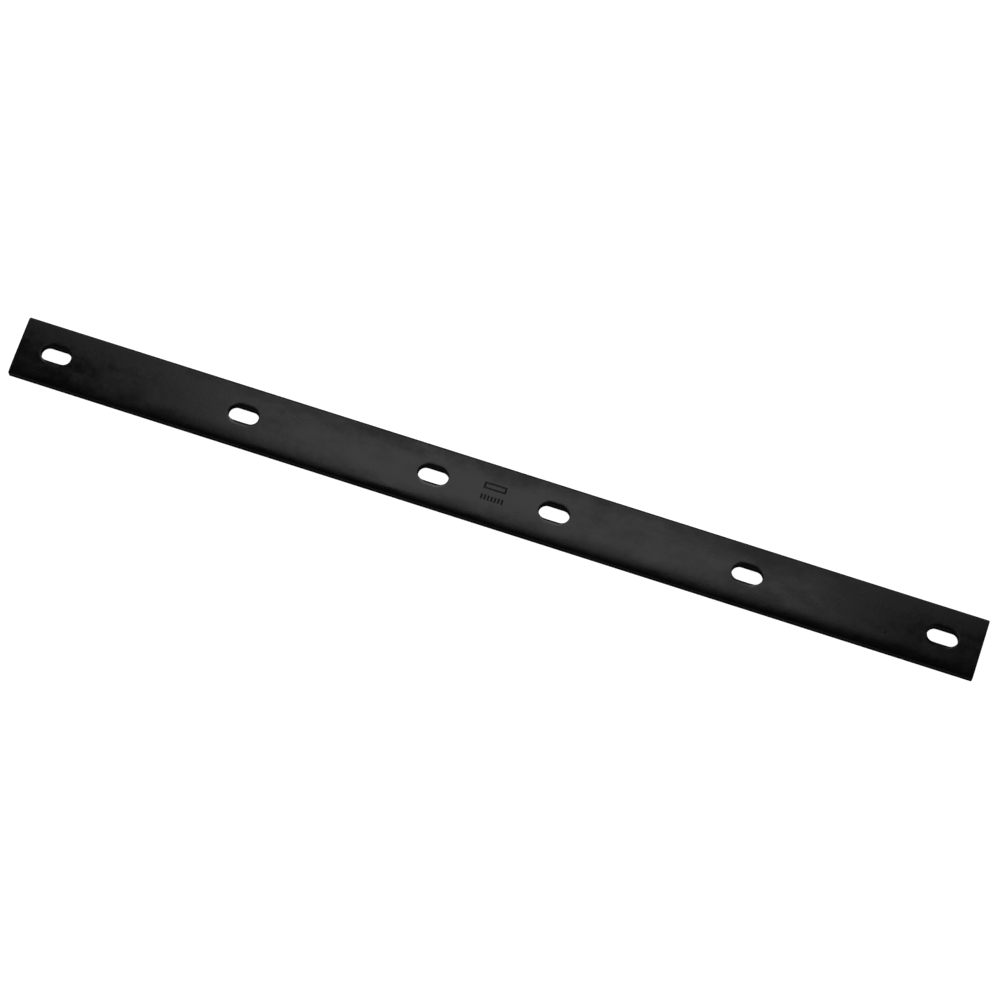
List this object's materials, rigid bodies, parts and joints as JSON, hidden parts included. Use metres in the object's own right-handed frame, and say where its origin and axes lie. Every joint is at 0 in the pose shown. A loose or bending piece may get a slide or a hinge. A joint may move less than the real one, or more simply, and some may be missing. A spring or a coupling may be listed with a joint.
{
  "type": "snow plow wear bar",
  "caption": "Flat black replaceable wear bar for an ATV snow plow blade, with a rolled nose along its wearing edge and a line of horizontal bolt slots with rolled lips.",
  "frame": {"origin": "centre of the flat back face, midway along the bar and midway up it", "axes": "+X along the bar's length, +Y towards its top edge, +Z out of its front face; the wearing edge with the rolled nose is at -Y"},
  "size_m": [1.213, 0.0762, 0.0127],
  "materials": {
    "black_coating": "satin black powder coat with a faint cloudy variation"
  },
  "bodies": {
    "root": {"wear_bar": "black_coating"}
  },
  "joints": []
}
